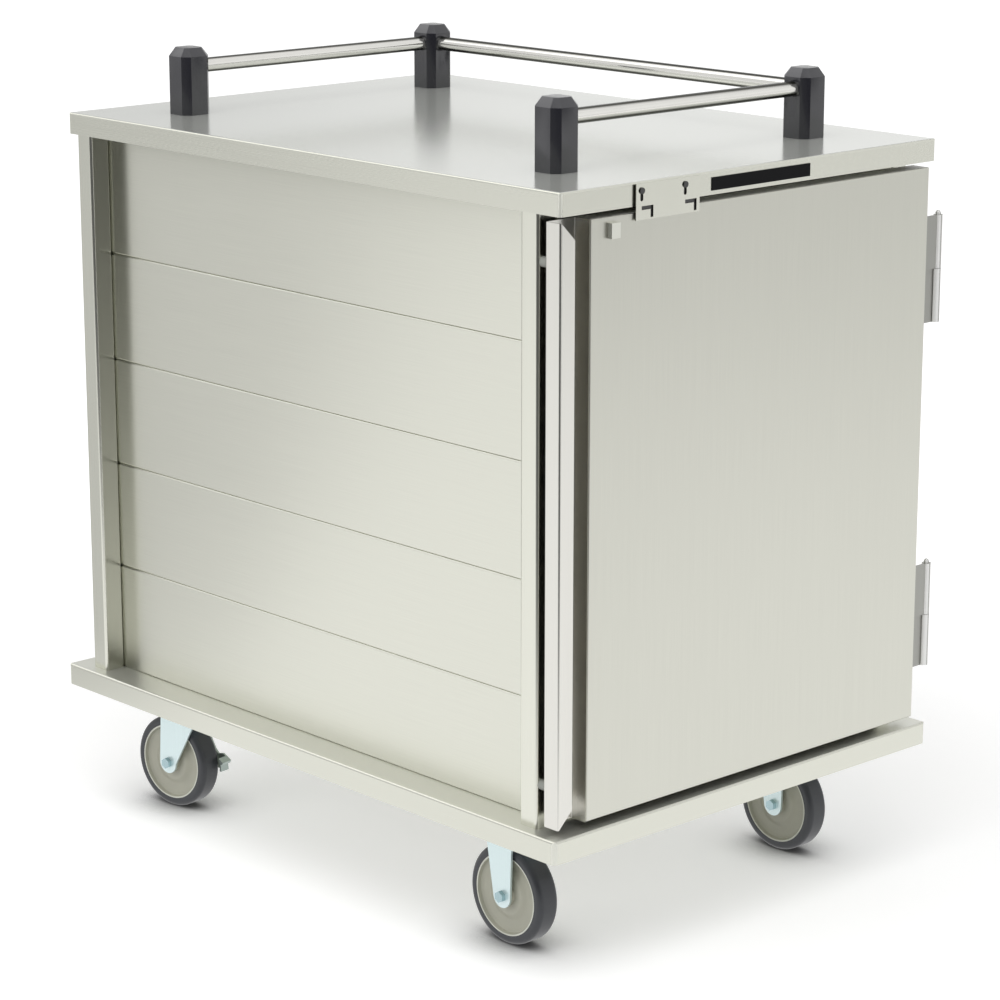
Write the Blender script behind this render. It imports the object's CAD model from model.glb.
"""The looks of an enclosed meal tray cart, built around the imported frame. Metres."""

import math

import bpy
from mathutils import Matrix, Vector


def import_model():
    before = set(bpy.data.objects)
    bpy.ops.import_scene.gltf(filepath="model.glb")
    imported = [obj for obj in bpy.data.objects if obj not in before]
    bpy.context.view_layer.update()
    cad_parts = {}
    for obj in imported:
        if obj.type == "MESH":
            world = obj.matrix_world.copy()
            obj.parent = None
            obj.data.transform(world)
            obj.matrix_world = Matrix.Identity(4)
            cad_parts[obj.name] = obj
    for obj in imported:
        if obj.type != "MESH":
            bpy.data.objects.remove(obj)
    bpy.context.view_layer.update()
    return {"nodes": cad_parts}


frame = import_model()
nodes = frame["nodes"]

# The turn of the rear casters at rest, as in the frame
REAR_YAW = math.radians(8)
# Width of a hub's light moulded edge
RIM_WIDTH = 0.0019
# A face looks up past this share of its normal, and belongs to an upright bend when both
# level shares of its normal are past the other
UP_FACE = 0.9
BEND_FACE = 0.15
# Vertices nearer than this are one point
WELD_DISTANCE = 0.00001
# Edges that a bevel rounds, and edges that stay sharp in sheet metal, in degrees
BEVEL_ANGLE = 30
SHARP_ANGLE = 32

# Scales of the brushing along its grain and across it
FINE_GRAIN = (9.0, 1500.0)
STREAK_GRAIN = (1.6, 120.0)

# What metal sees of the studio: a bright strip ahead of the door, the dim side where the camera
# stands, the way across the camera's view, and lights overhead and high at the back
STRIP = (0.0, -1.0, 0.0)
DIM_SKY = (-0.70, -0.71, 0.0)
DIM_FLOOR = (-0.70, -0.714, 0.0)
ACROSS = (0.80, -0.60, 0.0)
OVERHEAD = (-0.15, -0.15, 0.977)
HIGH_BACK = (-0.25, 0.62, 0.744)
LEFT_BACK = (-0.30, 0.954, 0.0)
# Light that the world throws on everything that isn't a mirror
SOFT_LIGHT = 0.62

FLOOR_SIZE = 30.0
# How near the floor darkens under what stands on it
TOUCH_DISTANCE = 0.085

CAMERA_PLACE = (-2.7894, -3.0361, 1.5119)
CAMERA_TILT = 0.2497
CAMERA_TURN = 0.7463
CAMERA_LENS = 116.242


# ---------------------------------------------------------------- shader helpers


class Graph:
    """Short calls for the nodes that the materials, the floor and the world share."""

    def __init__(self, tree, coords):
        self.tree = tree
        self.coords = self.add("ShaderNodeTexCoord").outputs[coords]

    def add(self, kind, **settings):
        node = self.tree.nodes.new(kind)
        for key, value in settings.items():
            setattr(node, key, value)
        return node

    def put(self, node, socket, value):
        if isinstance(value, bpy.types.NodeSocket):
            self.tree.links.new(value, node.inputs[socket])
        else:
            node.inputs[socket].default_value = value

    def maths(self, operation, a, b=0.0):
        node = self.add("ShaderNodeMath", operation=operation)
        self.put(node, 0, a)
        self.put(node, 1, b)
        return node.outputs["Value"]

    def remap(self, value, low, high, to_low, to_high, kind="LINEAR"):
        node = self.add("ShaderNodeMapRange", interpolation_type=kind)
        self.put(node, "Value", value)
        for socket, number in (("From Min", low), ("From Max", high),
                               ("To Min", to_low), ("To Max", to_high)):
            self.put(node, socket, number)
        return node.outputs["Result"]

    def smooth(self, value, low, high, to_low, to_high):
        return self.remap(value, low, high, to_low, to_high, "SMOOTHSTEP")

    def dot(self, vector, direction):
        node = self.add("ShaderNodeVectorMath", operation="DOT_PRODUCT")
        self.put(node, 0, vector)
        self.put(node, 1, direction)
        return node.outputs["Value"]

    def unit(self, vector):
        node = self.add("ShaderNodeVectorMath", operation="NORMALIZE")
        self.put(node, 0, vector)
        return node.outputs["Vector"]

    def axis(self, letter):
        node = self.add("ShaderNodeSeparateXYZ")
        self.put(node, "Vector", self.coords)
        return node.outputs[letter]

    def product(self, *values):
        out = values[0]
        for value in values[1:]:
            out = self.maths("MULTIPLY", out, value)
        return out

    def ray(self, *kinds):
        """1 for the named kinds of ray, else 0."""
        path = self.add("ShaderNodeLightPath")
        out = path.outputs[kinds[0]]
        for kind in kinds[1:]:
            out = self.maths("MAXIMUM", out, path.outputs[kind])
        return out

    def mix(self, factor, a, b):
        node = self.add("ShaderNodeMix", data_type="RGBA")
        self.put(node, "Factor", factor)
        for socket, value in ((6, a), (7, b)):
            is_link = isinstance(value, bpy.types.NodeSocket)
            self.put(node, socket, value if is_link else (*value, 1.0))
        return node.outputs[2]


class Shader(Graph):
    """One procedural material around a Principled shader."""

    def __init__(self, name, colour, metallic=0.0, roughness=0.5, **sockets):
        self.mat = bpy.data.materials.new(name)
        self.mat.use_nodes = True
        self.mat.diffuse_color = (*colour, 1.0)
        super().__init__(self.mat.node_tree, "Object")
        self.bsdf = self.tree.nodes["Principled BSDF"]
        self.put(self.bsdf, "Base Color", (*colour, 1.0))
        self.put(self.bsdf, "Metallic", metallic)
        self.put(self.bsdf, "Roughness", roughness)
        for key, value in sockets.items():
            self.put(self.bsdf, key.replace("_", " "), value)
        self.normal = None

    def stretched(self, scale):
        node = self.add("ShaderNodeMapping")
        self.put(node, "Vector", self.coords)
        self.put(node, "Scale", scale)
        return node.outputs["Vector"]

    def noise(self, scale, detail=2.0, roughness=0.5, vector=None):
        node = self.add("ShaderNodeTexNoise")
        self.put(node, "Vector", vector or self.coords)
        self.put(node, "Scale", scale)
        self.put(node, "Detail", detail)
        self.put(node, "Roughness", roughness)
        return node.outputs["Fac"]

    def bump(self, height, distance, strength=1.0):
        node = self.add("ShaderNodeBump")
        self.put(node, "Height", height)
        self.put(node, "Distance", distance)
        self.put(node, "Strength", strength)
        if self.normal is not None:
            self.put(node, "Normal", self.normal)
        self.normal = node.outputs["Normal"]
        self.put(self.bsdf, "Normal", self.normal)


def brushed(name, colour, grain, spread=None, roughness=0.3, metallic=1.0, wave=0.0003,
            stretch=0.8, contrast=1.0):
    """Brushed sheet. grain is the direction of the brushing, "X", "Y" or "Z", and spread is
    the axis whose ring direction the reflections are drawn out along."""
    s = Shader(name, colour, metallic, roughness)
    if spread:
        s.put(s.bsdf, "Anisotropic", stretch)
        tangent = s.add("ShaderNodeTangent", direction_type="RADIAL", axis=spread)
        s.put(s.bsdf, "Tangent", tangent.outputs["Tangent"])
    fine = s.noise(1.0, 3.0, 0.6, s.stretched(
        tuple(FINE_GRAIN[a != grain] for a in "XYZ")))
    streak = s.noise(1.0, 2.0, 0.55, s.stretched(
        tuple(STREAK_GRAIN[a != grain] for a in "XYZ")))
    cloud = s.noise(3.5, 2.0, 0.5)
    tone = s.maths("ADD", s.product(fine, 0.62),
                   s.maths("ADD", s.product(streak, 0.14), s.product(cloud, 0.24)))
    s.put(s.bsdf, "Base Color", s.mix(
        s.remap(tone, 0.32, 0.68, 0.0, 1.0), tuple(c * (1.0 - 0.045 * contrast) for c in colour),
        tuple(min(1.0, c * (1.0 + 0.03 * contrast)) for c in colour)))
    s.put(s.bsdf, "Roughness", s.remap(
        tone, 0.3, 0.7, roughness - 0.03 * contrast, roughness + 0.035 * contrast))
    s.bump(s.noise(1.7, 1.0, 0.4), wave)
    s.bump(fine, 0.000006 * contrast)
    return s.mat


def polished(name, colour, rim, roughness=0.08, metallic=0.85):
    """A polished tube: its edges, seen at a glancing angle, take on the dark of the room."""
    s = Shader(name, colour, metallic, roughness)
    cloud = s.noise(22.0, 2.0, 0.5)
    weight = s.add("ShaderNodeLayerWeight")
    s.put(weight, "Blend", 0.5)
    edge = s.smooth(weight.outputs["Facing"], 0.34, 0.54, 0.0, 1.0)
    s.put(s.bsdf, "Base Color", s.mix(edge, s.mix(
        s.remap(cloud, 0.3, 0.7, 0.0, 1.0), tuple(c * 0.95 for c in colour), colour), rim))
    s.put(s.bsdf, "Roughness", s.remap(cloud, 0.3, 0.7, roughness - 0.03, roughness + 0.04))
    s.bump(s.noise(6.0, 1.0, 0.4), 0.00003)
    return s.mat


def plastic(name, colour, roughness, grain=900.0, depth=0.00004, metallic=0.0, **sockets):
    s = Shader(name, colour, metallic, roughness, **sockets)
    speck = s.noise(grain, 3.0, 0.6)
    cloud = s.noise(14.0, 3.0, 0.55)
    s.put(s.bsdf, "Base Color", s.mix(
        s.remap(cloud, 0.3, 0.7, 0.0, 1.0), tuple(c * 0.92 for c in colour),
        tuple(min(1.0, c * 1.08) for c in colour)))
    s.put(s.bsdf, "Roughness", s.remap(cloud, 0.3, 0.7, roughness - 0.04, roughness + 0.05))
    s.bump(speck, depth)
    return s.mat


STEEL = (0.745, 0.748, 0.668)
STEEL_COOL = (0.735, 0.750, 0.705)

steel_x = brushed("stainless_grain_x", STEEL, "X", roughness=0.3)
steel_wall = brushed("stainless_wall", (0.785, 0.788, 0.705), "Y", "Y", roughness=0.33,
                     stretch=0.9)
steel_door = brushed("stainless_door", (0.665, 0.665, 0.597), "Z", "Z", roughness=0.33,
                     stretch=0.2)
steel_lip = brushed("stainless_lip", (0.86, 0.86, 0.80), "X", roughness=0.3, metallic=0.35)
steel_post = brushed("stainless_post", STEEL, "Z", roughness=0.22)
steel_channel = brushed("stainless_channel", (0.745, 0.735, 0.690), "Z", roughness=0.22)
steel_bend = brushed("stainless_bend", (0.83, 0.835, 0.755), "Z", roughness=0.38,
                     metallic=0.4, contrast=0.5)
steel_ledge = brushed("stainless_ledge", (0.81, 0.815, 0.74), "Y", roughness=0.34,
                      metallic=0.75, contrast=0.6)
steel_deck = brushed("stainless_deck", STEEL_COOL, "Y", roughness=0.17, metallic=0.55,
                     contrast=0.35)
steel_edge = brushed("stainless_deck_edge", STEEL, "Y", roughness=0.26)
steel_rim = brushed("stainless_base", (0.70, 0.703, 0.628), "Y", roughness=0.26, contrast=0.6)
steel_hinge = brushed("hinge_leaf", (0.38, 0.38, 0.355), "Z", roughness=0.34, metallic=0.8)
steel_barrel = brushed("hinge_barrel", (0.97, 0.97, 0.95), "Z", roughness=0.34, metallic=0.2)
tube = polished("stainless_tube", (0.88, 0.87, 0.83), (0.03, 0.03, 0.02))
pedal = brushed("brake_pedal", (0.42, 0.49, 0.46), "Z", roughness=0.34, metallic=0.7)
zinc = brushed("zinc_plate", (0.76, 0.89, 0.90), "Z", roughness=0.32, metallic=0.6,
               wave=0.0001)
bolt = brushed("zinc_bolts", (0.40, 0.53, 0.56), "Z", roughness=0.22, metallic=1.0,
               wave=0.0001)
black = plastic("black_plastic", (0.020, 0.020, 0.026), 0.18, Specular_IOR_Level=1.0)
plate_black = plastic("blank_plate_black", (0.005, 0.005, 0.006), 0.5, Specular_IOR_Level=0.1)
hub_grey = plastic("hub_grey", (0.470, 0.465, 0.385), 0.34)
hub_rim = plastic("hub_rim", (0.78, 0.79, 0.70), 0.30)
rubber = plastic("tyre_rubber", (0.045, 0.048, 0.055), 0.38, grain=700.0)
buffer_grey = plastic("buffer_rubber", (0.31, 0.32, 0.29), 0.55)
latch_dark = brushed("latch_carrier", (0.10, 0.10, 0.10), "Z", roughness=0.35)


# ---------------------------------------------------------------- CAD nodes


def sharp_by_angle(limit):
    """Modifier tree that shades smooth and marks edges steeper than the limit as sharp."""
    tree = bpy.data.node_groups.new("sharp_by_angle", "GeometryNodeTree")
    for way in ("INPUT", "OUTPUT"):
        tree.interface.new_socket(name="Geometry", in_out=way,
                                  socket_type="NodeSocketGeometry")
    start, end, angle, compare, face, edge = (tree.nodes.new(kind) for kind in (
        "NodeGroupInput", "NodeGroupOutput", "GeometryNodeInputMeshEdgeAngle",
        "FunctionNodeCompare", "GeometryNodeSetShadeSmooth", "GeometryNodeSetShadeSmooth"))
    face.domain = "FACE"
    edge.domain = "EDGE"
    edge.inputs["Shade Smooth"].default_value = False
    compare.operation = "GREATER_THAN"
    compare.inputs["B"].default_value = math.radians(limit)
    tree.links.new(angle.outputs["Unsigned Angle"], compare.inputs["A"])
    tree.links.new(compare.outputs["Result"], edge.inputs["Selection"])
    tree.links.new(start.outputs[0], face.inputs["Geometry"])
    tree.links.new(face.outputs["Geometry"], edge.inputs["Geometry"])
    tree.links.new(edge.outputs["Geometry"], end.inputs[0])
    return tree


sharp = sharp_by_angle(SHARP_ANGLE)


def dress(names, material, bevel=0.0, segments=2, top=None, bend=None):
    """Gives CAD nodes their material, with top for the faces that look up and bend for the
    rounds about an upright axis, and shades them smooth. A bevel rounds what is moulded."""
    for name in names:
        obj = nodes[name]
        obj.data.materials.clear()
        for slot in (material, top or material, bend or material):
            obj.data.materials.append(slot)
        for poly in obj.data.polygons:
            poly.use_smooth = True
            upright = min(abs(poly.normal.x), abs(poly.normal.y)) > BEND_FACE
            poly.material_index = 1 if poly.normal.z > UP_FACE else 2 if upright else 0
        weld = obj.modifiers.new("weld", "WELD")
        weld.merge_threshold = WELD_DISTANCE
        if bevel:
            mod = obj.modifiers.new("edges", "BEVEL")
            mod.width = bevel
            mod.segments = segments
            mod.limit_method = "ANGLE"
            mod.angle_limit = math.radians(BEVEL_ANGLE)
            mod.harden_normals = True
        else:
            mod = obj.modifiers.new("sharp", "NODES")
            mod.node_group = sharp
            normal = obj.modifiers.new("normals", "WEIGHTED_NORMAL")
            normal.keep_sharp = True


def light_rim(hub, yaw, material):
    """The hub's moulded edge, next to the tyre, is lighter than its dish."""
    hub.data.materials.append(material)
    points = [Vector(corner) for corner in hub.bound_box]
    middle = sum(points, Vector()) / len(points)
    radius = (max(p.z for p in points) - min(p.z for p in points)) / 2
    axle = Vector((math.cos(yaw), math.sin(yaw), 0))
    for poly in hub.data.polygons:
        away = poly.center - middle
        at_rim = (away - axle * away.dot(axle)).length > radius - RIM_WIDTH
        poly.material_index = len(hub.data.materials) - 1 if at_rim else 0


walls = [f"{side}_wall_{n}" for side in ("left", "right") for n in range(1, 6)]
posts = ["front_left_post", "front_right_post", "rear_left_post", "rear_right_post"]
rail_posts = [n for n in nodes if n.startswith("rail_post_")]
corners = ("front_left", "front_right", "rear_left", "rear_right")

dress(["base_pan"], steel_rim, top=steel_ledge, bend=steel_bend)
dress(["top_deck"], steel_edge, top=steel_deck, bend=steel_bend)
dress(walls, steel_wall)
dress(posts, steel_post)
dress(["back_panel", "door_header", "deck_hats", "caster_rails"], steel_x)
dress(["door_skin"], steel_door, top=steel_lip)
dress(["door_liner", "door_stiffener"], steel_door)
dress(["latch_plate"], steel_post)
dress(["pull_channel"], steel_channel)
dress(["frame_hinges", "door_hinges"], steel_hinge, bend=steel_barrel)
dress(["door_block"], steel_ledge)
dress(["rail_front", "rail_rear", "rail_right"], tube)
dress(rail_posts, black, 0.0018, 3)
dress(["blank_plate"], plate_black)
dress(["door_buffers"], buffer_grey)
dress(["front_left_fork", "front_right_fork", "rear_left_fork", "rear_right_fork",
       "swivel_plates"], zinc)
dress(["left_brake_pedal", "right_brake_pedal"], pedal)
dress(["front_axles", "kingpins", "caster_bolts", "rail_screws", "rear_left_pins",
       "rear_right_pins"], bolt)
for corner in corners:
    dress([corner + "_hub"], hub_grey)
    light_rim(nodes[corner + "_hub"], REAR_YAW if "rear" in corner else 0.0, hub_rim)
dress([c + "_tyre" for c in corners], rubber)
dress(["latch_base"], latch_dark)


# ---------------------------------------------------------------- studio


def world():
    """White behind the cart. Metal also shows the studio's dim side, where the camera stands."""
    w = bpy.data.worlds.new("studio")
    bpy.context.scene.world = w
    w.use_nodes = True
    w.node_tree.nodes.clear()
    g = Graph(w.node_tree, "Generated")
    dim = g.smooth(g.dot(g.coords, DIM_SKY), 0.40, 0.90, 1.0, 0.04)
    across = g.dot(g.coords, ACROSS)
    side = g.product(g.smooth(across, -0.05, 0.14, 0.66, 0.91),
                     g.smooth(across, -0.70, -0.30, 1.12, 1.0))
    high = g.smooth(g.axis("Z"), 0.20, 0.42, 1.0, 0.92)
    strip = g.smooth(g.dot(g.coords, STRIP), 0.94, 0.985, 0.0, 0.9)
    lights = g.maths("ADD", g.smooth(g.dot(g.coords, OVERHEAD), 0.84, 0.93, 0.0, 0.35),
                     g.smooth(g.dot(g.coords, HIGH_BACK), 0.90, 0.96, 0.0, 0.9))
    shown = g.maths("ADD", g.maths("MAXIMUM", g.product(dim, side, high), strip), lights)
    strength = g.maths("ADD", g.product(g.ray("Is Glossy Ray"), shown),
                       g.ray("Is Camera Ray", "Is Transmission Ray"))
    light = g.maths("ADD", strength, g.product(
        g.maths("SUBTRACT", 1.0, g.ray("Is Camera Ray", "Is Transmission Ray",
                                       "Is Glossy Ray")), SOFT_LIGHT))
    back = g.add("ShaderNodeBackground")
    g.put(back, "Color", (1, 1, 1, 1))
    g.put(back, "Strength", light)
    out = g.add("ShaderNodeOutputWorld")
    g.put(out, "Surface", back.outputs[0])


def floor():
    """A white floor that takes the shadow; metal sees it fall off towards the dim side."""
    mesh = bpy.data.meshes.new("floor")
    mesh.from_pydata([(x * FLOOR_SIZE, y * FLOOR_SIZE, 0)
                      for x, y in ((-1, -1), (1, -1), (1, 1), (-1, 1))], [], [(0, 1, 2, 3)])
    obj = bpy.data.objects.new("floor", mesh)
    bpy.context.scene.collection.objects.link(obj)
    mat = bpy.data.materials.new("floor")
    mat.use_nodes = True
    mat.node_tree.nodes.clear()
    g = Graph(mat.node_tree, "Object")
    aim = g.unit(g.coords)
    dim = g.smooth(g.dot(g.coords, DIM_FLOOR), 1.0, 2.1, 1.0, 0.04)
    dim = g.maths("MAXIMUM", dim, g.smooth(g.dot(aim, STRIP), 0.965, 0.99, 0.0, 0.9))
    side = g.smooth(g.dot(aim, LEFT_BACK), 0.86, 0.93, 1.0, 0.56)
    right = g.smooth(g.axis("X"), 2.1, 3.8, 1.0, 0.78)
    away = g.add("ShaderNodeVectorMath", operation="LENGTH")
    g.put(away, 0, g.coords)
    far = g.smooth(away.outputs["Value"], 0.7, 1.4, 0.0, 1.0)
    side = g.maths("SUBTRACT", 1.0, g.product(far, g.maths("SUBTRACT", 1.0, side)))
    glossy = g.product(g.ray("Is Glossy Ray"), dim, side, right)
    near = g.smooth(away.outputs["Value"], 0.7, 1.9, 0.33, 0.60)
    touch = g.add("ShaderNodeAmbientOcclusion", samples=8)
    g.put(touch, "Distance", TOUCH_DISTANCE)
    contact = g.smooth(touch.outputs["AO"], 0.30, 1.0, 0.0, 1.0)
    seen = g.product(g.ray("Is Camera Ray"), near, contact)
    diffuse = g.add("ShaderNodeBsdfDiffuse")
    ground = g.mix(contact, (0.25, 0.25, 0.25), (0.86, 0.86, 0.86))
    g.put(diffuse, "Color", g.mix(g.ray("Is Glossy Ray"), ground, (0.10, 0.10, 0.10)))
    glow = g.add("ShaderNodeEmission")
    g.put(glow, "Color", (1, 1, 1, 1))
    g.put(glow, "Strength", g.maths("ADD", glossy, seen))
    both = g.add("ShaderNodeAddShader")
    g.put(both, 0, diffuse.outputs[0])
    g.put(both, 1, glow.outputs[0])
    out = g.add("ShaderNodeOutputMaterial")
    g.put(out, "Surface", both.outputs[0])
    mesh.materials.append(mat)


def area(name, place, target, size, power):
    """A soft lamp that metal doesn't mirror, so that pale faces don't clip to white."""
    light = bpy.data.lights.new(name, "AREA")
    light.shape = "RECTANGLE"
    light.size, light.size_y = size
    light.energy = power
    obj = bpy.data.objects.new(name, light)
    bpy.context.scene.collection.objects.link(obj)
    obj.location = place
    obj.visible_glossy = False
    aim = Vector(target) - Vector(place)
    obj.rotation_euler = aim.to_track_quat("-Z", "Y").to_euler()


def camera():
    """The photo's view, from the front left and above."""
    cam = bpy.data.cameras.new("camera")
    cam.lens = CAMERA_LENS
    cam.sensor_width = 36.0
    cam.clip_end = 200.0
    obj = bpy.data.objects.new("camera", cam)
    bpy.context.scene.collection.objects.link(obj)
    obj.location = CAMERA_PLACE
    obj.rotation_euler = (math.pi / 2 - CAMERA_TILT, 0.0, -CAMERA_TURN)
    bpy.context.scene.camera = obj


world()
floor()
area("key", (-1.5, -1.0, 4.2), (0, 0, 0.4), (3.5, 3.5), 75)
area("side", (-4.5, 1.5, 2.2), (0, 0, 0.5), (2.5, 2.5), 30)
camera()
bpy.context.scene.view_settings.view_transform = "Standard"
